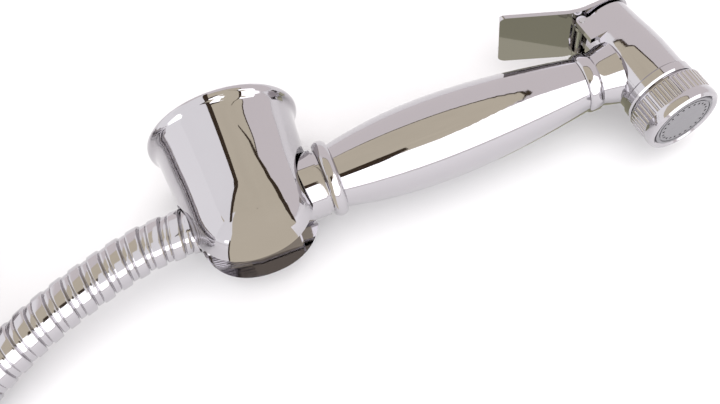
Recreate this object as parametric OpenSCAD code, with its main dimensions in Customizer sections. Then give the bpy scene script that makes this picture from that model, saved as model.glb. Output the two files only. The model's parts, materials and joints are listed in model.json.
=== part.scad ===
// Handheld bath sprayer: trigger hand spray parked in its bell-shaped wall holder, with a metal hose.
// The spray lies along +X, tail to head. The holder's nose and the spray face point to -Y. +Z is up.

/* [Handle] */
// Length of the bulged handle between its two rings
handle_len = 80; // [70:1:100]
// Radius of the handle at the ring by its tail
handle_tail_r = 9.9; // [9:0.1:11]
// Radius of the handle at the collar by the head
handle_head_r = 8.6; // [8:0.1:10]
// Pull of the handle's bulge, larger is fatter
bulge_r = 15.1; // [13:0.1:17]
// Radius of the bead ring at the tail end of the handle
bead_r = 12; // [11:0.1:14]

/* [Head] */
// Distance of the head barrel's axis from the bead ring
head_x = 99.6; // [95:0.1:120]
// Lean of the spray direction towards the head end, degrees
head_lean = 8; // [0:1:15]
// Radius of the head barrel
barrel_r = 11; // [10:0.1:12]
// Distance from the handle's axis to the spray face
face_d = 24.9; // [22:0.1:30]
// Outer radius of the knurled spray ring
ring_r = 12.3; // [11.8:0.1:14]
// Nozzle holes in the spray face
nozzles = 24; // [12:1:36]
// Radius of the circle of nozzle holes
nozzle_circle_r = 7.5; // [5:0.1:9]
// Radius of one nozzle hole
nozzle_r = 0.4; // [0.3:0.05:0.7]

/* [Trigger] */
// Width of the trigger paddle
lever_w = 22.4; // [18:0.1:26]
// Thickness of the trigger's sheet
lever_t = 1.3; // [1:0.1:2]
// Radius of the hinge pin
pin_r = 0.95; // [0.9:0.05:1.6]

/* [Holder] */
// Outer radius of the holder's wall flange
flange_r = 24; // [22:0.5:32]
// Radius of the holder's body at its nose
bell_r = 20.4; // [18:0.1:24]
// Distance from the spray's axis to the wall face
wall_d = 28.8; // [26:0.1:40]
// Width of the slot that lets the hose in
slot_w = 15.2; // [15:0.1:17]
// Turn of the holder about the spray's axis where it lies on its side, degrees
holder_turn = 6; // [0:0.5:7]

/* [Hose] */
// Outer diameter of the metal hose
hose_d = 14.5; // [13:0.5:14.5]
// Radius of the coil's turns, at the middle of the hose
coil_r = 78; // [76:1:80]

/* [Hidden] */

fit = 0.05;          // running fit, radial
mid_x = 31.8;       // middle of the spray and its holder, from the bead ring's head side
mid_y = 2.4;
axis_z = 21.0;       // height of the spray's axis where the holder lies on rim and nose
bell_x = -27.4;      // holder's own axis along the spray
hose_r = hose_d / 2;

// tail and nut
tail_x = -30;        // open end of the threaded tail
neck_x = -5.4;       // front of the tail's plain neck
thread_r = 10.45;    // half-inch pipe thread, major radius
bead_x = -4.3;
nut_x0 = -44.25;
nut_x1 = -16;
nut_r = 12;
nut_cone_x = -30;
nut_end_r = 9.0;
seat_gap = 0.1;
ferr_x = -46.75;     // where the hose itself begins

// cubic curve through four control values
function bez(a, b, c, d, t) =
  pow(1 - t, 3) * a + 3 * pow(1 - t, 2) * t * b + 3 * (1 - t) * t * t * c + pow(t, 3) * d;
handle_steps = 28;
function handle_xr(t) = [
  bez(0, handle_len * 0.2875, handle_len * 0.575, handle_len, t),
  bez(handle_tail_r, bulge_r, bulge_r - 0.6, handle_head_r, t)];

// frames: spray axis along X at its height, and the head's own axis
module spray_axis() { translate([-mid_x, -mid_y, axis_z]) rotate([0, 90, 0]) children(); }
module lift() { translate([-mid_x, -mid_y, axis_z]) children(); }
// head frame: local +Z is the spray direction, local +X points to the head end, origin on the handle's axis
module head_frame() {
  translate([head_x - mid_x, -mid_y, axis_z]) rotate([0, 0, head_lean]) rotate([90, 0, 0]) children();
}
// holder frame: local +Z runs from the spray's axis towards the nose, -Z towards the wall
module holder_frame() {
  translate([bell_x - mid_x, -mid_y, axis_z]) rotate([holder_turn, 0, 0]) rotate([90, 0, 0]) children();
}
module tube(r_out, r_in, z0, z1, n = 64) {
  translate([0, 0, z0]) difference() {
    cylinder(h = z1 - z0, r = r_out, $fn = n);
    translate([0, 0, -1]) cylinder(h = z1 - z0 + 2, r = r_in, $fn = n);
  }
}

// ---- holder ----
nose_h = 20.1;       // nose height beyond the spray's axis
nose_n = 2.4;        // fullness of the nose
rim_h = 2.6;
nose_steps = 16;
function nose_z(r) = nose_h * pow(1 - pow(r / bell_r, nose_n), 1 / nose_n);
module holder_profile() {
  polygon(concat(
    [[0, -wall_d], [flange_r - 0.6, -wall_d], [flange_r - 0.15, -wall_d + 0.5], [flange_r, -wall_d + 1.3],
     [flange_r - 0.2, -wall_d + 2.1], [flange_r - 0.8, -wall_d + rim_h + 0.2],
     [flange_r - 1.5, -wall_d + 3.5], [flange_r - 1.9, -wall_d + 4.6], [flange_r - 2.2, -wall_d + 6.5],
     [flange_r - 2.7, -wall_d + 13], [bell_r + 0.25, -wall_d + 20], [bell_r, 0]],
    [for (i = [1:nose_steps]) let (a = 90 * i / nose_steps, r = bell_r * pow(cos(a), 0.7))
      [i == nose_steps ? 0 : r, i == nose_steps ? nose_h : nose_z(r)]]));
}
cavity_r = 17.6;
cavity_z = -14.5;
bore_cyl_r = nut_r + seat_gap;
cone_k = (nut_r - nut_end_r) / (nut_cone_x - nut_x0);
bell_left = bell_x - flange_r;
grub_z = -wall_d + 8.5;
module holder_bell() {
  color([0.85, 0.86, 0.88]) difference() {
    holder_frame() rotate_extrude($fn = 120) holder_profile();
    // hollow behind, for the wall plate
    holder_frame() translate([0, 0, -wall_d - 1]) cylinder(h = wall_d + 1 + cavity_z, r = cavity_r, $fn = 96);
    // cross bore: straight at the head side, coned at the hose side
    spray_axis() translate([0, 0, nut_cone_x]) cylinder(h = 40, r = bore_cyl_r, $fn = 96);
    spray_axis() translate([0, 0, bell_left])
      cylinder(h = nut_cone_x - bell_left + 0.001, r1 = bore_cyl_r - cone_k * (nut_cone_x - bell_left),
        r2 = bore_cyl_r, $fn = 96);
    // slot through the nose
    holder_frame() translate([-40, -slot_w / 2, 0]) cube([80, slot_w, 40]);
    // grub screw hole, on the underside
    holder_frame() translate([0, 0, grub_z]) rotate([90, 0, 0]) cylinder(h = 40, r = 2, $fn = 32);
  }
}
plate_r = 17.4;
boss_r = 10;
boss_top = -wall_d + 12;
plate_hole_r = 2.1;
plate_pcd = 27.6;
module wall_plate() {
  color([0.7, 0.7, 0.72]) holder_frame() difference() {
    union() {
      translate([0, 0, -wall_d]) cylinder(h = 2.5, r = plate_r, $fn = 96);
      translate([0, 0, -wall_d]) cylinder(h = boss_top + wall_d, r = boss_r, $fn = 64);
    }
    for (s = [-1, 1]) translate([s * plate_pcd / 2, 0, -wall_d - 1]) cylinder(h = 5, r = plate_hole_r, $fn = 32);
    // thread for the grub screw
    translate([0, 0, grub_z]) rotate([90, 0, 0]) translate([0, 0, 6]) cylinder(h = 10, r = 2, $fn = 32);
  }
}
module grub_screw() {
  color([0.35, 0.35, 0.37]) holder_frame() translate([0, 0, grub_z]) rotate([90, 0, 0]) difference() {
    translate([0, 0, 6.5]) cylinder(h = 14.2, r = 2, $fn = 32);
    translate([0, 0, 18.7]) cylinder(h = 3, r = 1.15, $fn = 6);
  }
}

// ---- tail, handle ----
water_r = 5;
spigot_r = 7.6;
spigot_x = 14;
module tail_connector() {
  color([0.86, 0.87, 0.89]) spray_axis() difference() {
    union() {
      translate([0, 0, tail_x]) cylinder(h = 1, r1 = thread_r - 1, r2 = thread_r, $fn = 64);
      translate([0, 0, tail_x + 1]) cylinder(h = neck_x - tail_x - 1, r = thread_r, $fn = 64);
      translate([0, 0, neck_x]) cylinder(h = bead_x - neck_x, r = thread_r - 0.7, $fn = 64);
      translate([0, 0, bead_x]) cylinder(h = spigot_x - bead_x, r = spigot_r, $fn = 64);
    }
    translate([0, 0, tail_x - 1]) cylinder(h = spigot_x - tail_x + 2, r = water_r, $fn = 48);
    // counterbore for the water tube and its seal
    translate([0, 0, 4]) cylinder(h = 20, r = 5.9, $fn = 48);
  }
}
module bead_ring() {
  bead_w = -bead_x;
  color([0.88, 0.89, 0.91]) spray_axis() rotate_extrude($fn = 96) difference() {
    intersection() {
      translate([bead_r - 2.6, bead_x / 2]) circle(r = 2.6, $fn = 40);
      translate([spigot_r, bead_x + 0.02]) square([10, bead_w - 0.04]);
    }
  }
  color([0.88, 0.89, 0.91]) spray_axis() tube(handle_tail_r, spigot_r, bead_x + 0.01, -0.01);
}
module handle_shell() {
  wall = 1.6;
  color([0.86, 0.87, 0.89]) spray_axis() rotate_extrude($fn = 96) polygon(concat(
    [for (i = [0:handle_steps]) let (p = handle_xr(i / handle_steps)) [p[1], p[0]]],
    [[handle_head_r - 1.9, handle_len], [handle_head_r - 1.9, handle_len - 8]],
    [for (i = [handle_steps - 4:-1:6]) let (p = handle_xr(i / handle_steps)) [p[1] - wall, p[0]]],
    [[spigot_r, 14], [spigot_r, 0]]));
}
collar_r = 9.25;
collar_w = 4.7;
module handle_collar() {
  color([0.88, 0.89, 0.91]) spray_axis() difference() {
    union() {
      translate([0, 0, handle_len]) cylinder(h = 0.5, r1 = handle_head_r - 0.4, r2 = collar_r - 0.35, $fn = 96);
      translate([0, 0, handle_len + 0.5]) cylinder(h = 0.7, r1 = collar_r - 0.35, r2 = collar_r, $fn = 96);
      translate([0, 0, handle_len + 1.2]) cylinder(h = collar_w - 2.2, r = collar_r, $fn = 96);
      translate([0, 0, handle_len + collar_w - 1]) cylinder(h = 1, r1 = collar_r, r2 = collar_r - 0.6, $fn = 96);
    }
    translate([0, 0, handle_len - 1]) cylinder(h = 10, r = 6.7, $fn = 64);
  }
}
tube_r = 5.8;
module inner_tube() {
  color([0.75, 0.77, 0.8]) spray_axis() tube(tube_r, 4.4, 6.2, head_x - 7, 48);
}
module tube_seal() {
  color([0.1, 0.1, 0.1]) spray_axis() tube(tube_r, 4.4, 4, 6.2, 48);
}

// ---- head ----
rear_d = -18.6;      // rear end of the barrel, in the head's own frame
pin_e = -9.0;        // hinge pin across and along the head
pin_d = -17.35;
tube_out_r = 8.8;
ring_d0 = 14.2;      // spray ring's rear edge
cheek_v = 8.2;
cheek_w = 2;
cheek_r = 1.75;
gland_r = 5.5;
module barrel_profile() {
  polygon([[0, rear_d], [9.1, rear_d], [9.5, rear_d + 0.5], [10, -12], [10.6, -6], [barrel_r, 0],
    [barrel_r, 10.2], [barrel_r + 0.6, 10.8], [barrel_r + 0.6, 13], [barrel_r + 0.2, 13.6],
    [barrel_r - 0.6, 13.6], [barrel_r - 0.6, 20.4], [0, 20.4]]);
}
chamber_r = 6.5;
module head_body() {
  color([0.87, 0.88, 0.9]) difference() {
    union() {
      head_frame() rotate_extrude($fn = 96) barrel_profile();
      // short side tube to the collar, flaring where it joins the barrel
      spray_axis() translate([0, 0, handle_len + collar_w]) cylinder(h = 14, r = tube_out_r - 0.2, $fn = 64);
      spray_axis() translate([0, 0, handle_len + collar_w + 1]) cylinder(h = 6, r1 = tube_out_r - 0.2,
        r2 = tube_out_r + 1.4, $fn = 64);
      spray_axis() translate([0, 0, handle_len - 6]) cylinder(h = 12, r = 6.68, $fn = 64);
      // two cheeks that carry the hinge pin
      for (t = [-1, 1]) head_frame() translate([pin_e, t * cheek_v, pin_d]) rotate([90, 0, 0])
        cylinder(h = cheek_w, r = cheek_r, center = true, $fn = 32);
      for (t = [-1, 1]) head_frame() translate([pin_e - cheek_r, t * cheek_v - cheek_w / 2, pin_d])
        cube([7, cheek_w, 7.5]);
    }
    // water way from the handle
    spray_axis() translate([0, 0, handle_len - 8]) cylinder(h = head_x - handle_len + 8, r = tube_r + 0.02, $fn = 48);
    // valve chamber, gland thread and outlet
    head_frame() translate([0, 0, -20]) cylinder(h = 8, r = gland_r, $fn = 64);
    head_frame() translate([0, 0, -13]) cylinder(h = 19.2, r = chamber_r, $fn = 64);
    head_frame() translate([0, 0, 6]) cylinder(h = 30, r = 4.2, $fn = 48);
    head_frame() translate([0, 0, 12]) cylinder(h = 30, r = 9.4, $fn = 64);
    // notch behind the hinge, between the cheeks
    head_frame() translate([-15.8, 0, -20.8]) rotate([90, 0, 0])
      cylinder(h = 2 * cheek_v - cheek_w, r = 9.9, center = true, $fn = 64);
    // pin hole
    head_frame() translate([pin_e, 0, pin_d]) rotate([90, 0, 0]) cylinder(h = 22, r = pin_r, center = true, $fn = 32);
  }
}
module lever_pin() {
  color([0.8, 0.81, 0.83]) head_frame() translate([pin_e, 0, pin_d]) rotate([90, 0, 0])
    cylinder(h = 2 * cheek_v + cheek_w + 0.4, r = pin_r, center = true, $fn = 32);
}
cap_d = -19;         // underside of the trigger's cap, in the head's own frame
cap_r = 10.2;
paddle_len = 20.2;
paddle_up = 27.5;    // bend of the trigger, degrees
bend_e = -5.5;
bend_r = 16;
corner_r = 2.2;
bend_steps = 8;
function bend_pt(r, a) = [bend_e - r * sin(a), cap_d - bend_r + r * cos(a)];
function paddle_pt(r) = bend_pt(r, paddle_up) - paddle_len * [cos(paddle_up), sin(paddle_up)];
module lever_side() {
  polygon(concat([[cap_r + 1, cap_d]], [for (i = [0:bend_steps]) bend_pt(bend_r, paddle_up * i / bend_steps)],
    [paddle_pt(bend_r), paddle_pt(bend_r - lever_t)],
    [for (i = [bend_steps:-1:0]) bend_pt(bend_r - lever_t, paddle_up * i / bend_steps)],
    [[cap_r + 1, cap_d - lever_t]]));
}
tip_e = paddle_pt(bend_r)[0];
module lever_plan() {
  circle(r = cap_r, $fn = 96);
  polygon([[tip_e + corner_r, -lever_w / 2], [-9, -lever_w / 2], [1.5, -cap_r + 0.1], [1.5, cap_r - 0.1],
    [-9, lever_w / 2], [tip_e + corner_r, lever_w / 2]]);
  translate([tip_e - 1, -lever_w / 2 + corner_r]) square([10, lever_w - 2 * corner_r]);
  for (t = [-1, 1]) translate([tip_e + corner_r, t * (lever_w / 2 - corner_r)]) circle(r = corner_r, $fn = 32);
}
lug_v = 6.1;
lug_w = 1.4;
stem_hole_r = 1.9;
stem_slot = 1.3;
module trigger_lever() {
  color([0.86, 0.87, 0.89]) head_frame() difference() {
    union() {
      intersection() {
        rotate([90, 0, 0]) linear_extrude(height = lever_w + 4, center = true) lever_side();
        translate([0, 0, -40]) linear_extrude(height = 40) lever_plan();
      }
      // lugs on the pin
      for (t = [-1, 1]) translate([pin_e, t * lug_v, pin_d]) rotate([90, 0, 0])
        cylinder(h = lug_w, r = 1.9, center = true, $fn = 40);
      for (t = [-1, 1]) translate([pin_e - 1.6, t * lug_v - lug_w / 2, pin_d - 2.6]) cube([3.2, lug_w, 2.6]);
    }
    translate([pin_e, 0, pin_d]) rotate([90, 0, 0]) cylinder(h = 30, r = pin_r + fit, center = true, $fn = 40);
    // stem hole, long enough for the lever to tip round the stem
    for (e = [0, stem_slot]) translate([e, 0, -30]) cylinder(h = 20, r = stem_hole_r, $fn = 32);
    translate([0, -stem_hole_r, -30]) cube([stem_slot, 2 * stem_hole_r, 20]);
  }
}

// ---- valve ----
stem_r = 1.3;
stem_top = cap_d - lever_t - 0.35;
disc_d = 4.6;        // valve disc's face on its seat
module valve_stem() {
  color([0.78, 0.66, 0.4]) head_frame() {
    translate([0, 0, stem_top - 1.2]) cylinder(h = 1.2, r = 2.4, $fn = 40);
    translate([0, 0, stem_top - 0.01]) cylinder(h = disc_d - 1.4 - stem_top, r = stem_r, $fn = 40);
    translate([0, 0, -2.6]) cylinder(h = 1.4, r = 4.4, $fn = 48);
    translate([0, 0, disc_d - 3]) cylinder(h = 1.6, r = 4.4, $fn = 48);
  }
}
module valve_washer() {
  color([0.08, 0.08, 0.08]) head_frame() translate([0, 0, disc_d - 1.4]) cylinder(h = 1.4, r = 4.8, $fn = 48);
}
module valve_seat() {
  color([0.78, 0.66, 0.4]) head_frame() difference() {
    translate([0, 0, disc_d + 0.02]) cylinder(h = 1.3, r = chamber_r, $fn = 64);
    translate([0, 0, disc_d - 1]) cylinder(h = 4, r = 3, $fn = 48);
  }
}
module gland_nut() {
  color([0.78, 0.66, 0.4]) head_frame() difference() {
    union() {
      translate([0, 0, -17.4]) cylinder(h = 5.4, r = gland_r, $fn = 64);
      translate([0, 0, -18.4]) cylinder(h = 1.4, r = 4.6, $fn = 6);
    }
    translate([0, 0, -25]) cylinder(h = 20, r = stem_r + fit, $fn = 40);
    translate([0, 0, -14]) cylinder(h = 5, r = 3, $fn = 40);
  }
}
module gland_seal() {
  color([0.08, 0.08, 0.08]) head_frame() tube(3, stem_r + 0.03, -14, -12, 40);
}
spring_turns = 6;
module valve_spring() {
  color([0.6, 0.62, 0.64]) head_frame() for (i = [0:spring_turns]) translate([0, 0, -11.4 + i * 1.36])
    rotate_extrude($fn = 40) translate([3.7, 0]) circle(r = 0.45, $fn = 16);
}

// ---- spray face ----
module flow_disc() {
  color([0.85, 0.85, 0.82]) head_frame() difference() {
    translate([0, 0, 12.02]) cylinder(h = 2, r = 9.38, $fn = 64);
    for (i = [0:7]) rotate([0, 0, i * 45]) translate([5.5, 0, 10]) cylinder(h = 6, r = 1.2, $fn = 24);
  }
}
module face_seal() {
  color([0.08, 0.08, 0.08]) head_frame() tube(barrel_r - 0.6, 8.6, 20.42, 21.6, 64);
}
module spray_plate() {
  color([0.6, 0.6, 0.6]) head_frame() difference() {
    union() {
      translate([0, 0, 21.62]) cylinder(h = 1.2, r = barrel_r - 0.6, $fn = 96);
      translate([0, 0, 22.8]) cylinder(h = face_d - 0.25 - 22.8, r = 9.9, $fn = 96);
    }
    // shallow ring in the face
    translate([0, 0, face_d - 0.55]) difference() {
      cylinder(h = 2, r = 9.0, $fn = 96);
      translate([0, 0, -1]) cylinder(h = 4, r = 8.6, $fn = 96);
    }
    for (i = [0:nozzles - 1]) rotate([0, 0, i * 360 / nozzles]) translate([nozzle_circle_r, 0, 20])
      cylinder(h = 8, r = nozzle_r, $fn = 14);
  }
}
ribs = 48;
module spray_ring() {
  color([0.88, 0.89, 0.91]) head_frame() difference() {
    rotate_extrude($fn = 120) polygon([
      [barrel_r - 0.6 + fit, ring_d0], [ring_r - 0.8, ring_d0], [ring_r - 0.1, ring_d0 + 0.7],
      [ring_r - 0.1, ring_d0 + 7.6], [ring_r, ring_d0 + 7.8], [ring_r, face_d - 1.4], [ring_r - 0.2, face_d - 0.6],
      [ring_r - 0.9, face_d], [10.9, face_d], [9.95, face_d - 0.7], [9.95, 22.9], [barrel_r - 0.6 + fit, 22.9]]);
    for (i = [0:ribs - 1]) rotate([0, 0, i * 360 / ribs]) translate([ring_r + 0.12, 0, ring_d0 + 1])
      cylinder(h = 6.2, r = 0.55, $fn = 16);
  }
}

// ---- hose end at the spray ----
module tail_washer() {
  color([0.08, 0.08, 0.08]) spray_axis() tube(9.2, 5.5, tail_x - 2, tail_x - 0.02, 48);
}
flutes = 56;
flute_r = 0.42;
flute_len = 11;
flute_out = 0.15;    // how far the middle of a flute's cutter lies outside the surface
cone_lean = atan(cone_k);
module hose_nut() {
  color([0.86, 0.87, 0.89]) spray_axis() difference() {
    union() {
      translate([0, 0, nut_cone_x]) cylinder(h = nut_x1 - nut_cone_x - 0.6, r = nut_r, $fn = 96);
      translate([0, 0, nut_x1 - 0.6]) cylinder(h = 0.6, r1 = nut_r, r2 = nut_r - 0.6, $fn = 96);
      translate([0, 0, nut_x0]) cylinder(h = nut_cone_x - nut_x0, r1 = nut_end_r, r2 = nut_r, $fn = 96);
    }
    for (i = [0:flutes - 1]) rotate([0, 0, i * 360 / flutes]) translate([nut_end_r + flute_out, 0, nut_x0])
      rotate([0, cone_lean, 0]) cylinder(h = flute_len, r = flute_r, $fn = 14);
    translate([0, 0, tail_x - 2.4]) cylinder(h = 40, r = thread_r + fit, $fn = 64);
    translate([0, 0, nut_x0 - 1]) cylinder(h = 40, r = 6.4 + fit, $fn = 48);
    translate([0, 0, tail_x - 4.6]) cylinder(h = 3, r = 9.3, $fn = 64);
  }
}
module hose_ferrule() {
  color([0.84, 0.85, 0.87]) spray_axis() difference() {
    union() {
      translate([0, 0, tail_x - 4.2]) cylinder(h = 2.2, r = 9.2, $fn = 64);
      translate([0, 0, ferr_x]) cylinder(h = tail_x - 4.2 - ferr_x, r = 6.4, $fn = 64);
      translate([0, 0, nut_x0 - 1.1]) cylinder(h = 0.8, r = 7.4, $fn = 64);
      translate([0, 0, ferr_x]) cylinder(h = 0.9, r = 7.3, $fn = 64);
    }
    translate([0, 0, ferr_x - 1]) cylinder(h = 40, r = 4.2, $fn = 48);
  }
}

// ---- hose: the uncoiled stretch, by hand-chosen points, then the coil ----
T_HOSE = [[ferr_x, 0, 0], [-51.5, 0, 0], [-56, -0.1, 0], [-61, -0.5, -0.1], [-66, -1.4, -0.2], [-71, -2.6, -0.3],
  [-76, -4.0, -0.45], [-81, -5.5, -0.6], [-86, -7.1, -0.8], [-91, -8.8, -1.1], [-96, -10.6, -1.6],
  [-101, -12.5, -2.3], [-106, -14.6, -3.3], [-111, -16.7, -4.5], [-116, -18.9, -5.9], [-121, -21.2, -7.4],
  [-126, -23.6, -8.9], [-131, -26.0, -10.2], [-137, -29.0, -11.6], [-143, -32.1, -12.7], [-149, -35.3, -13.4],
  [-155, -38.6, -13.7], [-161, -42.0, -13.75], [-167, -45.4, -13.75], [-173, -48.8, -13.75]];
hose_sides = 12;
hose_end = T_HOSE[len(T_HOSE) - 1];
function unit(v) = v / norm(v);
function tan_at(p, i, first) = i == 0 ? first : i == len(p) - 1 ? unit(p[i] - p[i - 1]) : unit(p[i + 1] - p[i - 1]);
function ring_at(p, i, first) = let (t = tan_at(p, i, first), s = unit(cross(t, [0, 0, 1])), u = cross(s, t))
  [for (k = [0:hose_sides - 1]) p[i] + hose_r * (cos(360 * (k + 0.5) / hose_sides) * s
    + sin(360 * (k + 0.5) / hose_sides) * u)];
module swept(p, first) {
  n = hose_sides;
  m = len(p);
  pts = [for (i = [0:m - 1]) each ring_at(p, i, first)];
  faces = concat([[for (k = [0:n - 1]) k]], [[for (k = [n - 1:-1:0]) (m - 1) * n + k]],
    [for (i = [0:m - 2], k = [0:n - 1]) [i * n + k, (i + 1) * n + k, (i + 1) * n + (k + 1) % n]],
    [for (i = [0:m - 2], k = [0:n - 1]) [i * n + k, (i + 1) * n + (k + 1) % n, i * n + (k + 1) % n]]);
  polyhedron(points = pts, faces = faces, convexity = 4);
}
module hose_tube() {
  color([0.82, 0.83, 0.86]) lift() swept(T_HOSE, [-1, 0, 0]);
}

// coil of turns lying on each other, the first one tangent to the end of the stretch above
head_dir = unit(hose_end - T_HOSE[len(T_HOSE) - 2]);
coil_c = [hose_end[0] + coil_r * head_dir[1] - mid_x, hose_end[1] - coil_r * head_dir[0] - mid_y];
start_a = atan2(head_dir[0], -head_dir[1]);
turn_step = 8;       // degrees between the coil's rings
wound = 784;         // degrees wound
climb_from = 200;    // degrees into each turn at which the hose climbs onto the turn below
climb_over = 160;
end_rise = 3.3;      // lifts the end so that the nut rests on the turn below
rise_over = 50;      // degrees over which it lifts
tie_at = 130;        // where the tie goes round the turns, degrees after the start
tie_a = 8;
tie_t = 0.9;
tie_top = 29;        // height of the turns inside the tie
function smooth(t) = let (c = min(1, max(0, t))) c * c * (3 - 2 * c);
function coil_z(a) = hose_r + hose_d * smooth((a - climb_from) / climb_over)
  + hose_d * smooth((a - 360 - climb_from) / climb_over)
  + end_rise * pow(max(0, a - wound + rise_over) / rise_over, 2);
function coil_at(a) = [coil_c[0] + coil_r * cos(start_a - a), coil_c[1] + coil_r * sin(start_a - a), coil_z(a)];
coil_pts = [for (a = [0:turn_step:wound]) coil_at(a)];
end_at = coil_pts[len(coil_pts) - 1];
end_way = unit(coil_at(wound + 1) - coil_at(wound - 1));
module coil_frame(a) { translate([coil_c[0], coil_c[1], 0]) rotate([0, 0, start_a - a]) children(); }
// end pieces: local +Z runs out of the hose's end
module end_frame() {
  translate(end_at) rotate([0, acos(end_way[2]), atan2(end_way[1], end_way[0])]) children();
}
module hose_coil() {
  color([0.82, 0.83, 0.86]) swept(coil_pts, head_dir);
}
module coil_tie() {
  color([0.12, 0.12, 0.13]) coil_frame(tie_at) rotate_extrude(angle = tie_a, $fn = 120) difference() {
    translate([coil_r - hose_r - tie_t, 0]) square([hose_d + 2 * tie_t, tie_top + tie_t]);
    translate([coil_r - hose_r - 0.02, 0.6]) square([hose_d + 0.04, tie_top - 0.6]);
  }
}
end_fl0 = 27.8;
end_nut0 = 14;
end_nut1 = 38;
end_relief = 4.7;    // length of the relief behind the supply nut's thread
module end_ferrule() {
  color([0.84, 0.85, 0.87]) end_frame() difference() {
    union() {
      cylinder(h = 10, r = 7.9, $fn = 64);
      translate([0, 0, 9]) cylinder(h = end_fl0 - 9, r = 6.4, $fn = 64);
      translate([0, 0, end_fl0]) cylinder(h = 2.2, r = 9.2, $fn = 64);
    }
    translate([0, 0, -1]) cylinder(h = 40, r = 4.2, $fn = 48);
  }
}
grips = 16;
module end_nut() {
  color([0.86, 0.87, 0.89]) end_frame() difference() {
    union() {
      translate([0, 0, end_nut0]) cylinder(h = 4, r1 = 8.6, r2 = 11.8, $fn = 96);
      translate([0, 0, end_nut0 + 4]) cylinder(h = end_nut1 - end_nut0 - 4.6, r = 11.8, $fn = 96);
      translate([0, 0, end_nut1 - 0.6]) cylinder(h = 0.6, r1 = 11.8, r2 = 11.3, $fn = 96);
    }
    for (i = [0:grips - 1]) rotate([0, 0, i * 360 / grips]) translate([12.6, 0, end_nut0 + 6])
      cylinder(h = 14, r = 1.4, $fn = 20);
    translate([0, 0, end_nut0 - 1]) cylinder(h = 40, r = 6.4 + fit, $fn = 48);
    translate([0, 0, end_fl0 - 0.1]) cylinder(h = end_relief, r = thread_r + 0.45, $fn = 64);
    translate([0, 0, end_fl0]) cylinder(h = 40, r = thread_r + fit, $fn = 64);
  }
}
module end_washer() {
  color([0.08, 0.08, 0.08]) end_frame() tube(10.3, 5.5, end_fl0 + 2.3, end_fl0 + 4.3, 48);
}

holder_bell();
wall_plate();
grub_screw();
tail_connector();
bead_ring();
handle_shell();
handle_collar();
head_body();
trigger_lever();
lever_pin();
valve_stem();
valve_washer();
gland_nut();
gland_seal();
valve_spring();
valve_seat();
inner_tube();
tube_seal();
flow_disc();
face_seal();
spray_plate();
spray_ring();
tail_washer();
hose_nut();
hose_ferrule();
hose_tube();
hose_coil();
coil_tie();
end_ferrule();
end_nut();
end_washer();
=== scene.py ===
import json
import math

import bmesh
import bpy
import numpy as np
from mathutils import Matrix, Vector

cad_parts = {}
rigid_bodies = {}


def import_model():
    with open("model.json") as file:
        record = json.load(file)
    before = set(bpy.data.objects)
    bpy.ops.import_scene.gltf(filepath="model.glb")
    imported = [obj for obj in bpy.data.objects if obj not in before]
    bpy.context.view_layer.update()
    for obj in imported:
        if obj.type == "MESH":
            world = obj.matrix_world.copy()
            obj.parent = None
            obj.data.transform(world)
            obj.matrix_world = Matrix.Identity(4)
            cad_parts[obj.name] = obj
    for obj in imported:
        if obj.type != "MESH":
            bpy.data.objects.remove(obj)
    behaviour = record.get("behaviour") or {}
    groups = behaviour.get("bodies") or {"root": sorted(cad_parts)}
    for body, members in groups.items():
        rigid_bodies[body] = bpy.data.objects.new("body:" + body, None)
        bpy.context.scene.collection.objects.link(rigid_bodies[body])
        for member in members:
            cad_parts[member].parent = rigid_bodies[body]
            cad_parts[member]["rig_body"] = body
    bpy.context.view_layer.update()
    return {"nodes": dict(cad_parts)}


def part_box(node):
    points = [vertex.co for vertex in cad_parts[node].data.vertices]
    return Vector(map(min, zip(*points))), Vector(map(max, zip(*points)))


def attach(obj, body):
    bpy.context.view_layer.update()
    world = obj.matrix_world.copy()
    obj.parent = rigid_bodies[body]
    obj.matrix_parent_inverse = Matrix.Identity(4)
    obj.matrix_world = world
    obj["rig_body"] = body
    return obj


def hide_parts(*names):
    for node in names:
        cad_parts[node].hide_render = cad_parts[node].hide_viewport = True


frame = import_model()
nodes = frame["nodes"]

MM = 0.001
# the frame's origin, measured from the handle's axis below the bead ring's head side
ring_low, ring_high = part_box("bead_ring")
MID_X = -ring_high[0] / MM
MID_Y = -(ring_low[1] + ring_high[1]) / 2 / MM


def place(x, y, z):
    """A point in millimetres from the bead ring, as metres in the frame."""
    return Vector(((x - MID_X) * MM, (y - MID_Y) * MM, z * MM))


# ---------------------------------------------------------------- camera
# focal length and width of the picture in the same unit, and the sensor's width in millimetres
FOCAL_PX = 1000.0
PICTURE_W = 720
SENSOR_W = 36.0
# which side the camera stands on, how far it leans from straight down, and its roll, in degrees
HEADING = -9.994
LEAN = 28.012
ROLL = -11.833
CAM_AT = place(-20.769, -149.146, 284.185)

cam_data = bpy.data.cameras.new("camera")
cam = bpy.data.objects.new("camera", cam_data)
bpy.context.collection.objects.link(cam)
bpy.context.scene.camera = cam
cam_data.sensor_width = SENSOR_W
cam_data.lens = SENSOR_W * FOCAL_PX / PICTURE_W
cam_data.clip_start = 0.01
cam_data.clip_end = 20.0
turn = Matrix.Identity(3)
for axis, degrees in (("Z", HEADING), ("X", LEAN), ("Z", ROLL)):
    turn = turn @ Matrix.Rotation(math.radians(degrees), 3, axis)
cam.rotation_mode = "QUATERNION"
cam.rotation_quaternion = turn.to_quaternion()
cam.location = CAM_AT

# ---------------------------------------------------------------- the hose
# the same route as the part's source, in millimetres and degrees
AXIS_Z = 21.0       # height of the spray's axis
HOSE_R = 7.25
COIL_R = 78.0       # to the hose's middle
WOUND = 784         # degrees from the start of the coil to the hose's end
TURN_STEP = 8
CLIMB_FROM = 200.0  # where in a turn the hose starts to climb onto the one below
CLIMB_OVER = 160.0
END_RISE = 3.3
RISE_OVER = 50.0
PITCH = 6.35        # width of one turn of the hose's strip
LINE_STEP = 1.0
PATH_EVERY = 4      # steps of the line between two points of the stated path
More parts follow.
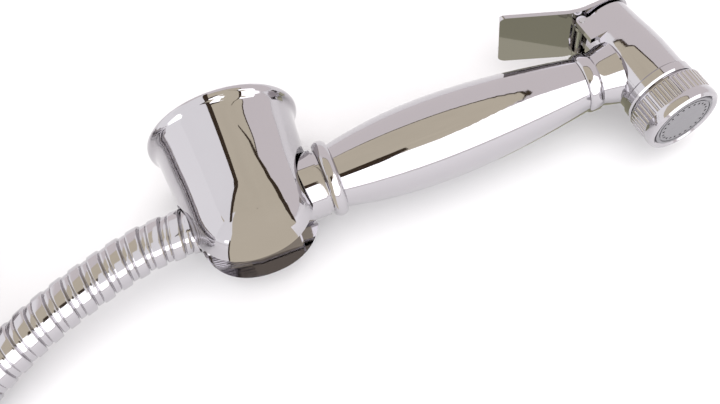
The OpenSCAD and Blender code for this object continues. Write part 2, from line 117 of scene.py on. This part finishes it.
# the stretch that isn't coiled, from the hose's start, with heights from the spray's axis
STRETCH = [
    (-46.75, 0, 0), (-51.5, 0, 0), (-56, -0.1, 0), (-61, -0.5, -0.1), (-66, -1.4, -0.2), (-71, -2.6, -0.3),
    (-76, -4.0, -0.45), (-81, -5.5, -0.6), (-86, -7.1, -0.8), (-91, -8.8, -1.1), (-96, -10.6, -1.6),
    (-101, -12.5, -2.3), (-106, -14.6, -3.3), (-111, -16.7, -4.5), (-116, -18.9, -5.9), (-121, -21.2, -7.4),
    (-126, -23.6, -8.9), (-131, -26.0, -10.2), (-137, -29.0, -11.6), (-143, -32.1, -12.7),
    (-149, -35.3, -13.4), (-155, -38.6, -13.7),
    (-161, -42.0, -13.75), (-167, -45.4, -13.75), (-173, -48.8, -13.75),
]


def smooth(t):
    t = min(1.0, max(0.0, t))
    return t * t * (3 - 2 * t)


def coil_height(a):
    """Height of the hose's middle after a degrees of winding: it climbs onto the turn below."""
    climbs = smooth((a - CLIMB_FROM) / CLIMB_OVER) + smooth((a - 360 - CLIMB_FROM) / CLIMB_OVER)
    return HOSE_R + 2 * HOSE_R * climbs + END_RISE * (max(0, a - WOUND + RISE_OVER) / RISE_OVER) ** 2


def hose_points():
    """The hose's centreline in millimetres, from the spray to its far end."""
    pts = [np.array(p, float) + (-MID_X, -MID_Y, AXIS_Z) for p in STRETCH]
    end = pts[-1]
    way = (end - pts[-2]) / np.linalg.norm(end - pts[-2])
    centre = np.array([end[0] + COIL_R * way[1], end[1] - COIL_R * way[0]])
    start = math.degrees(math.atan2(end[1] - centre[1], end[0] - centre[0]))
    for a in range(TURN_STEP, WOUND + 1, TURN_STEP):
        g = math.radians(start - a)
        x = centre[0] + COIL_R * math.cos(g)
        y = centre[1] + COIL_R * math.sin(g)
        pts.append(np.array([x, y, coil_height(a)]))
    return np.array(pts)


FINE_STEPS = 24      # curve steps between two points of the route


def resample(points, step):
    """Catmull-Rom through the points, then even steps along it."""
    p = np.vstack([2 * points[0] - points[1], points, 2 * points[-1] - points[-2]])
    fine = []
    for i in range(1, len(p) - 2):
        for t in np.linspace(0, 1, FINE_STEPS, endpoint=False):
            a, b, c, d = p[i - 1], p[i], p[i + 1], p[i + 2]
            fine.append(0.5 * (2 * b + (c - a) * t + (2 * a - 5 * b + 4 * c - d) * t * t
                               + (3 * b - a - 3 * c + d) * t ** 3))
    fine.append(p[-2])
    fine = np.array(fine)
    run = np.concatenate([[0], np.cumsum(np.linalg.norm(np.diff(fine, axis=0), axis=1))])
    count = max(2, int(round(run[-1] / step)))
    at = np.linspace(0, run[-1], count + 1)
    return np.stack([np.interp(at, run, fine[:, k]) for k in range(3)], 1), run[-1]


def carried_frames(line):
    """Tangent and two side vectors at each point, with no twist from one to the next."""
    tan = np.gradient(line, axis=0)
    tan /= np.linalg.norm(tan, axis=1)[:, None]
    side = np.cross(tan[0], (0, 0, 1.0))
    side /= np.linalg.norm(side)
    sides = [side]
    for i in range(1, len(line)):
        s = sides[-1] - tan[i] * np.dot(sides[-1], tan[i])
        sides.append(s / np.linalg.norm(s))
    sides = np.array(sides)
    return tan, sides, np.cross(sides, tan)


# one pitch of the interlocked strip: share of the pitch, radius
STRIP = [
    (0.00, 6.62), (0.03, 7.05), (0.07, 7.22), (0.12, 7.25), (0.30, 7.25), (0.48, 7.25), (0.55, 7.20),
    (0.585, 7.02), (0.60, 6.50), (0.625, 6.50), (0.64, 6.72), (0.76, 6.74), (0.90, 6.72), (0.935, 6.62),
    (0.945, 5.95), (0.985, 5.95),
]
AROUND = 40          # points round the hose


def strip_hose(name, line, length):
    """The hose as one interlocked strip wound round its centreline."""
    _, side, up = carried_frames(line)
    at = np.linspace(0, length, len(line))
    turns = int(math.ceil(length / PITCH)) + 1
    verts, faces = [], []
    n_p = len(STRIP)
    total = turns * AROUND
    for k in range(-AROUND, total):
        for share, r in STRIP:
            s = PITCH * (k / AROUND + share)
            ang = 2 * math.pi * k / AROUND
            verts.append((min(length, max(0.0, s)), r, ang))
    verts = np.array(verts)
    s, r, ang = verts[:, 0], verts[:, 1], verts[:, 2]
    c = np.stack([np.interp(s, at, line[:, k]) for k in range(3)], 1)
    sd = np.stack([np.interp(s, at, side[:, k]) for k in range(3)], 1)
    uu = np.stack([np.interp(s, at, up[:, k]) for k in range(3)], 1)
    co = c + (np.cos(ang)[:, None] * sd + np.sin(ang)[:, None] * uu) * r[:, None]
    count = total + AROUND

    def vid(k, p):
        if p == n_p:
            k, p = k + AROUND, 0
        return k * n_p + p

    for k in range(count - 1):
        for p in range(n_p):
            if p == n_p - 1 and k + 1 + AROUND >= count:
                continue
            quad = (vid(k, p), vid(k + 1, p), vid(k + 1, p + 1), vid(k, p + 1))
            ss = [s[q] for q in quad]
            if max(ss) <= 0.0 or min(ss) >= length:
                continue
            faces.append(quad)
    used = sorted({q for f in faces for q in f})
    new = {q: i for i, q in enumerate(used)}
    mesh = bpy.data.meshes.new(name)
    mesh.from_pydata([tuple(co[q] * MM) for q in used], [], [tuple(new[q] for q in f) for f in faces])
    mesh.validate()
    mesh.update()
    obj = bpy.data.objects.new(name, mesh)
    bpy.context.collection.objects.link(obj)
    for poly in mesh.polygons:
        poly.use_smooth = True
    return obj


line, hose_len = resample(hose_points(), LINE_STEP)
hose = strip_hose("hose", line, hose_len)
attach(hose, "spray")
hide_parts("hose_tube", "hose_coil")
path = line[::PATH_EVERY]
if (len(line) - 1) % PATH_EVERY:
    path = np.vstack([path, line[-1]])

# ---------------------------------------------------------------- node helpers


class Net:
    """Short hand for building a node tree."""

    def __init__(self, tree):
        self.t = tree
        self.t.nodes.clear()

    def add(self, kind, **put):
        n = self.t.nodes.new(kind)
        for k, v in put.items():
            setattr(n, k, v)
        return n

    def link(self, a, b):
        self.t.links.new(a, b)

    def feed(self, socket, value):
        if isinstance(value, bpy.types.NodeSocket):
            self.link(value, socket)
        else:
            socket.default_value = value

    def math(self, op, a, b):
        n = self.add("ShaderNodeMath", operation=op)
        self.feed(n.inputs[0], a)
        self.feed(n.inputs[1], b)
        return n.outputs[0]

    def step(self, x, low, high):
        """0 below low, 1 above high, smooth between."""
        n = self.add("ShaderNodeMapRange", interpolation_type="SMOOTHSTEP")
        self.feed(n.inputs["Value"], x)
        self.feed(n.inputs["From Min"], low)
        self.feed(n.inputs["From Max"], high)
        return n.outputs["Result"]

    def remap(self, x, f0, f1, t0, t1):
        n = self.add("ShaderNodeMapRange")
        self.feed(n.inputs["Value"], x)
        n.inputs["From Min"].default_value = f0
        n.inputs["From Max"].default_value = f1
        n.inputs["To Min"].default_value = t0
        n.inputs["To Max"].default_value = t1
        return n.outputs["Result"]

    def mix(self, fac, a, b):
        n = self.add("ShaderNodeMix", data_type="RGBA")
        self.feed(n.inputs[0], fac)
        self.feed(n.inputs[6], a)
        self.feed(n.inputs[7], b)
        return n.outputs[2]

    def noise(self, vec, scale, detail=2.0, rough=0.5):
        n = self.add("ShaderNodeTexNoise")
        self.link(vec, n.inputs["Vector"])
        n.inputs["Scale"].default_value = scale
        n.inputs["Detail"].default_value = detail
        n.inputs["Roughness"].default_value = rough
        return n.outputs["Fac"]

    def bump(self, height, strength, distance, normal=None):
        n = self.add("ShaderNodeBump")
        n.inputs["Strength"].default_value = strength
        n.inputs["Distance"].default_value = distance
        self.link(height, n.inputs["Height"])
        if normal is not None:
            self.link(normal, n.inputs["Normal"])
        return n.outputs["Normal"]


def rgb(r, g, b):
    return (r, g, b, 1.0)


# ---------------------------------------------------------------- world: the studio that the chrome mirrors
world = bpy.data.worlds.new("studio")
bpy.context.scene.world = world
world.use_nodes = True
w = Net(world.node_tree)
coord = w.add("ShaderNodeTexCoord")
sep = w.add("ShaderNodeSeparateXYZ")
w.link(coord.outputs["Generated"], sep.inputs[0])
X, Y, Z = sep.outputs

WHITE = rgb(1.10, 1.03, 1.03)
LEFT = rgb(1.45, 1.44, 1.46)
BRIGHT = rgb(3.2, 3.2, 3.25)
BEIGE = rgb(0.98, 0.89, 0.70)
DARK = rgb(0.08, 0.055, 0.035)
# where one tone of the room turns into the next, as x, y and z of the direction looked in
LEFT_EDGE = (-0.38, -0.50)
FRONT_EDGE = (-0.54, -0.58)
HORIZON_EDGE = (0.03, 0.08)
colour = w.mix(w.step(X, *LEFT_EDGE), WHITE, LEFT)
front = w.math("MULTIPLY", w.step(Y, *FRONT_EDGE), w.step(Z, *HORIZON_EDGE))
colour = w.mix(front, colour, BRIGHT)
back = w.add("ShaderNodeBackground")
w.link(colour, back.inputs["Color"])
back.inputs["Strength"].default_value = 1.0
out = w.add("ShaderNodeOutputWorld")
w.link(back.outputs[0], out.inputs["Surface"])

# ---------------------------------------------------------------- floor and light
FLOOR_HALF = 6.0
FLOOR_DROP = 0.0002
LAMP_WIDTH = 1.6
LAMP_WATTS = 18.0
LAMP_AT = (0.1, -0.2, 1.5)
floor_mesh = bpy.data.meshes.new("floor")
FLOOR_CORNERS = [(x * FLOOR_HALF, y * FLOOR_HALF, 0) for x, y in ((-1, -1), (1, -1), (1, 1), (-1, 1))]
floor_mesh.from_pydata(FLOOR_CORNERS, [], [(0, 1, 2, 3)])
floor = bpy.data.objects.new("floor", floor_mesh)
bpy.context.collection.objects.link(floor)
floor.location.z = -FLOOR_DROP
floor_mat = bpy.data.materials.new("floor_paper")
floor_mat.use_nodes = True
n = Net(floor_mat.node_tree)
tc = n.add("ShaderNodeTexCoord")
shader = n.add("ShaderNodeBsdfPrincipled")
n.link(n.mix(n.noise(tc.outputs["Object"], 9.0), rgb(0.60, 0.60, 0.61), rgb(0.62, 0.62, 0.62)),
       shader.inputs["Base Color"])
shader.inputs["Roughness"].default_value = 0.7
o = n.add("ShaderNodeOutputMaterial")
n.link(shader.outputs[0], o.inputs["Surface"])
floor_mesh.materials.append(floor_mat)

lamp_data = bpy.data.lights.new("top_lamp", "AREA")
lamp_data.shape = "DISK"
lamp_data.size = LAMP_WIDTH
lamp_data.energy = LAMP_WATTS
lamp = bpy.data.objects.new("top_lamp", lamp_data)
bpy.context.collection.objects.link(lamp)
lamp.location = LAMP_AT
lamp.visible_glossy = False
lamp.rotation_mode = "QUATERNION"
lamp.rotation_quaternion = (Vector((0, 0, 0)) - lamp.location).to_track_quat("-Z", "Y")


def glow(name, colour, one_sided=False):
    """An evenly glowing card of painted reflection, a little uneven; a one-sided one glows on its front only.
    """
    m = bpy.data.materials.new(name)
    m.use_nodes = True
    n = Net(m.node_tree)
    tc = n.add("ShaderNodeTexCoord")
    e = n.add("ShaderNodeEmission")
    shade = tuple(c * 0.88 for c in colour[:3]) + (1.0,)
    n.link(n.mix(n.noise(tc.outputs["Object"], 14.0, 3.0), colour, shade), e.inputs["Color"])
    lit = e.outputs[0]
    if one_sided:
        side = n.add("ShaderNodeMixShader")
        n.link(n.add("ShaderNodeNewGeometry").outputs["Backfacing"], side.inputs[0])
        n.link(lit, side.inputs[1])
        n.link(n.add("ShaderNodeBsdfTransparent").outputs[0], side.inputs[2])
        lit = side.outputs[0]
    o = n.add("ShaderNodeOutputMaterial")
    n.link(lit, o.inputs["Surface"])
    return m


def card(name, corners, mat):
    """A card of painted reflection that only mirrors see; corners in millimetres from the bead ring."""
    mesh = bpy.data.meshes.new(name)
    mesh.from_pydata([tuple(place(*c)) for c in corners], [], [tuple(range(len(corners)))])
    mesh.materials.append(mat)
    obj = bpy.data.objects.new(name, mesh)
    bpy.context.collection.objects.link(obj)
    obj.visible_camera = False
    obj.visible_diffuse = False
    obj.visible_shadow = False
    obj.visible_transmission = False
    obj.visible_volume_scatter = False


def strip(name, points, widths, mat):
    """A narrow card along a line of points."""
    left, right = [], []
    for i, p in enumerate(points):
        a, b = points[max(0, i - 1)], points[min(len(points) - 1, i + 1)]
        d = Vector((b[0] - a[0], b[1] - a[1])).normalized()
        h = widths[i] / 2
        left.append((p[0] - d.y * h, p[1] + d.x * h, p[2]))
        right.append((p[0] + d.y * h, p[1] - d.x * h, p[2]))
    for i in range(len(points) - 1):
        card(f"{name}_{i}", [left[i], left[i + 1], right[i + 1], right[i]], mat)


# glowing tones that only mirrors see: painted reflections in the chrome, which light nothing and cast no
# shadow
beige_reflection = glow("beige_reflection", BEIGE)
dark_reflection = glow("dark_reflection", DARK)
olive_dark_reflection = glow("olive_dark_reflection", rgb(0.40, 0.39, 0.28))
olive_pale_reflection = glow("olive_pale_reflection", rgb(0.62, 0.60, 0.46))
white_reflection = glow("white_reflection", BRIGHT)
left_reflection = glow("left_reflection", LEFT)
beige_one_sided_reflection = glow("beige_one_sided_reflection", BEIGE, one_sided=True)
dark_one_sided_reflection = glow("dark_one_sided_reflection", DARK, one_sided=True)


def level(points, z):
    """Corners given as x, y, all at one height."""
    return [(x, y, z) for x, y in points]


def upright(points, y):
    """Corners given as x, z, on a plane across the view."""
    return [(x, y, z) for x, z in points]


def sideways(points, x):
    """Corners given as y, z, on a plane that faces the holder."""
    return [(x, y, z) for y, z in points]


# painted reflections of a tent over the object: its beige opening with a dark edge, a lit side and the
# camera's dark body, on cards that only mirrors see
TENT_Z = 250
EDGE_Z = TENT_Z - 1
CAMERA_Z = TENT_Z - 2
card("tent_opening_reflection", level([(-100, 165), (0, 142), (100, 122), (150, 100), (180, 55), (186, -21), (159, -82),
                            (119, -130), (75, -153), (10, -150), (-300, -205), (-330, -160), (-300, -40),
                            (-230, 60)], TENT_Z), beige_reflection)
card("white_side", level([(160, -82), (200, -60), (420, -120), (700, -420), (60, -420), (75, -155),
                          (119, -132)], TENT_Z), white_reflection)
strip("opening_edge", level([(-100, 165), (0, 142), (100, 122), (150, 100), (180, 55), (186, 0),
                             (178, -60)], EDGE_Z), [7, 8, 10, 12, 10, 8, 3], dark_reflection)
card("camera_reflection", level([(-125, -124), (20, -100), (24, -132), (-20, -176), (-125, -205)], CAMERA_Z),
     dark_reflection)

# close over the holder: a painted reflection of lit cloth on the left, with a dark edge, on cards that only
# mirrors see
NEAR_Z = 60
EDGE_DROP = 0.3
left_line = [(-29.2, 45), (-29.5, 15), (-30.4, 4), (-36, -2), (-44.4, -12.5), (-58, -29)]
card("left_light", level(left_line + [(-62, -29), (-62, 45)], NEAR_Z), left_reflection)
strip("left_edge", level(left_line, NEAR_Z - EDGE_DROP), [3.0, 3.0, 3.0, 2.6, 2.8, 3.2], dark_reflection)

# between the holder and the handle: a painted reflection that glows on the holder's side only, with a dark
# edge that widens
SIDE_X = -3
GAP = 0.2
EDGE_W = 2.5
WIDENS = 0.5        # from one stretch to the next
FLARE = 0.3         # within a stretch
right_line = [(25, 82), (20, 73), (14, 62), (7.5, 55.5), (-0.8, 50.4), (-12.3, 45), (-21, 37), (-26, 28)]
card("right_reflection", sideways(right_line + [(-40, 28), (-40, 95), (25, 95)], SIDE_X), beige_one_sided_reflection)
for i in range(len(right_line) - 1):
    (ya, za), (yb, zb) = right_line[i], right_line[i + 1]
    wide = EDGE_W + WIDENS * i
    corners = [(ya, za), (yb, zb), (yb, zb + wide + FLARE), (ya, za + wide)]
    card(f"right_edge_{i}", sideways(corners, SIDE_X - GAP), dark_one_sided_reflection)

# before the holder's nose: painted reflections, beige in the middle, brighter on the left, a dark edge
# between them, on cards that only mirrors see
FRONT_Y = -24
EDGE_LEFT = 1.6
EDGE_RIGHT = 0.4
front_line = [(-45, 3), (-45, 42), (-53, 66), (-58, 95)]
card("front_reflection", upright(front_line + [(-36, 100), (-26, 80), (-15.5, 60), (-12, 46), (-12, 3)], FRONT_Y),
     beige_reflection)
card("front_light", upright([(-45, 36)] + front_line[1:] + [(-76, 92), (-76, 36)], FRONT_Y), left_reflection)
card("rim_reflection", upright([(-12, 78), (60, 84), (60, 106), (-12, 98)], FRONT_Y), beige_reflection)
for i in range(len(front_line) - 1):
    (xa, za), (xb, zb) = front_line[i], front_line[i + 1]
    corners = [(xa - EDGE_LEFT, za), (xa + EDGE_RIGHT, za), (xb + EDGE_RIGHT, zb), (xb - EDGE_LEFT, zb)]
    card(f"front_edge_{i}", upright(corners, FRONT_Y - GAP), dark_reflection)

# under the trigger, whose mirror shows them: painted shaded reflections in olive tones, on cards just above
# the pale floor that only mirrors see
GROUND_Z = 1
card("lever_shade", level([(52, -8), (94, -12), (94, 8), (52, 10)], GROUND_Z), olive_dark_reflection)
card("lever_pale_reflection", level([(52, 10), (94, 8), (94, 26), (52, 28)], GROUND_Z), olive_pale_reflection)

# ---------------------------------------------------------------- materials


def metal(name, tone=(0.47, 0.455, 0.475), rough=(0.03, 0.07), wave=0.0, tarnish=0.03, grain=0.0):
    """Polished plated metal: faint clouding, fine wiping marks and a slow unevenness of the surface."""
    m = bpy.data.materials.new(name)
    m.use_nodes = True
    n = Net(m.node_tree)
    tc = n.add("ShaderNodeTexCoord")
    at = tc.outputs["Object"]
    s = n.add("ShaderNodeBsdfPrincipled")
    s.inputs["Metallic"].default_value = 1.0
    cloud = n.noise(at, 90.0, 4.0, 0.6)
    base = n.mix(cloud, rgb(*tone), rgb(*[c * (1 - tarnish) for c in tone]))
    n.link(base, s.inputs["Base Color"])
    smear = n.add("ShaderNodeMapping")
    smear.inputs["Scale"].default_value = (1.0, 6.0, 6.0)
    n.link(at, smear.inputs["Vector"])
    streak = n.noise(smear.outputs[0], 220.0, 5.0, 0.65)
    r = n.remap(streak, 0.3, 0.75, rough[0], rough[1])
    n.link(r, s.inputs["Roughness"])
    normal = n.bump(n.noise(at, 2600.0, 3.0), 0.05, 0.00002)
    if wave:
        normal = n.bump(n.noise(at, 38.0, 1.0), wave, 0.0012, normal)
    if grain:
        normal = n.bump(n.noise(at, 1500.0, 4.0, 0.7), grain, 0.0001, normal)
    n.link(normal, s.inputs["Normal"])
    o = n.add("ShaderNodeOutputMaterial")
    n.link(s.outputs[0], o.inputs["Surface"])
    return m


def plain(name, tone, tone2, rough, scale=300.0, bump=0.2):
    """Rubber, plastic or woven strap: two close tones and a fine unevenness."""
    m = bpy.data.materials.new(name)
    m.use_nodes = True
    n = Net(m.node_tree)
    tc = n.add("ShaderNodeTexCoord")
    at = tc.outputs["Object"]
    s = n.add("ShaderNodeBsdfPrincipled")
    f = n.noise(at, scale, 4.0, 0.6)
    n.link(n.mix(f, rgb(*tone), rgb(*tone2)), s.inputs["Base Color"])
    n.link(n.remap(f, 0.3, 0.7, rough - 0.05, rough + 0.05), s.inputs["Roughness"])
    n.link(n.bump(f, bump, 0.0001), s.inputs["Normal"])
    o = n.add("ShaderNodeOutputMaterial")
    n.link(s.outputs[0], o.inputs["Surface"])
    return m


chrome = metal("chrome", wave=0.05)
chrome_holder = metal("chrome_holder", wave=0.12)
chrome_hose = metal("chrome_hose", rough=(0.05, 0.1))
hose.data.materials.append(chrome_hose)
satin = metal("satin_face", tone=(0.27, 0.265, 0.28), rough=(0.34, 0.44), grain=0.15)
brass = metal("brass", tone=(0.62, 0.46, 0.22), rough=(0.15, 0.25))
steel = metal("steel", tone=(0.5, 0.5, 0.51), rough=(0.12, 0.2))
black_steel = metal("black_steel", tone=(0.12, 0.12, 0.125), rough=(0.3, 0.4))
rubber = plain("rubber", (0.02, 0.02, 0.02), (0.035, 0.035, 0.035), 0.6)
plastic = plain("water_tube", (0.7, 0.72, 0.74), (0.66, 0.68, 0.7), 0.35)
strap = plain("strap", (0.03, 0.03, 0.033), (0.06, 0.06, 0.065), 0.85, 1800.0, 0.6)


def smoothed(node, degrees=32.0):
    """The same solid with its round faces shaded as one surface."""
    cad = nodes[node]
    bm = bmesh.new()
    bm.from_mesh(cad.data)
    bmesh.ops.remove_doubles(bm, verts=bm.verts, dist=1e-6)
    for e in bm.edges:
        e.smooth = len(e.link_faces) == 2 and e.calc_face_angle(9) < math.radians(degrees)
    for f in bm.faces:
        f.smooth = True
    mesh = bpy.data.meshes.new(node + "_skin")
    bm.to_mesh(mesh)
    bm.free()
    obj = bpy.data.objects.new(node + "_skin", mesh)
    bpy.context.collection.objects.link(obj)
    mesh.materials.append(LOOK[node])
    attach(obj, cad["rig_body"])
    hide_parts(node)


LOOK = {
    "holder_bell": chrome_holder, "wall_plate": steel, "grub_screw": black_steel, "tail_connector": chrome,
    "bead_ring": chrome, "handle_shell": chrome, "handle_collar": chrome, "head_body": chrome,
    "trigger_lever": chrome, "lever_pin": steel, "valve_stem": brass, "valve_washer": rubber,
    "gland_nut": brass, "gland_seal": rubber, "valve_spring": steel, "valve_seat": brass,
    "inner_tube": plastic, "tube_seal": rubber, "flow_disc": plastic, "face_seal": rubber,
    "spray_plate": satin, "spray_ring": chrome, "tail_washer": rubber, "hose_nut": chrome,
    "hose_ferrule": chrome, "coil_tie": strap, "end_ferrule": chrome, "end_nut": chrome, "end_washer": rubber,
}
for name, mat in LOOK.items():
    obj = nodes[name]
    for sl in obj.material_slots:
        sl.material = mat
ROUND = ("holder_bell", "tail_connector", "bead_ring", "handle_shell", "handle_collar", "head_body",
         "trigger_lever", "spray_ring", "spray_plate", "hose_nut", "hose_ferrule", "valve_stem", "gland_nut")
for name in ROUND:
    smoothed(name)

bpy.context.scene.view_settings.view_transform = "Standard"
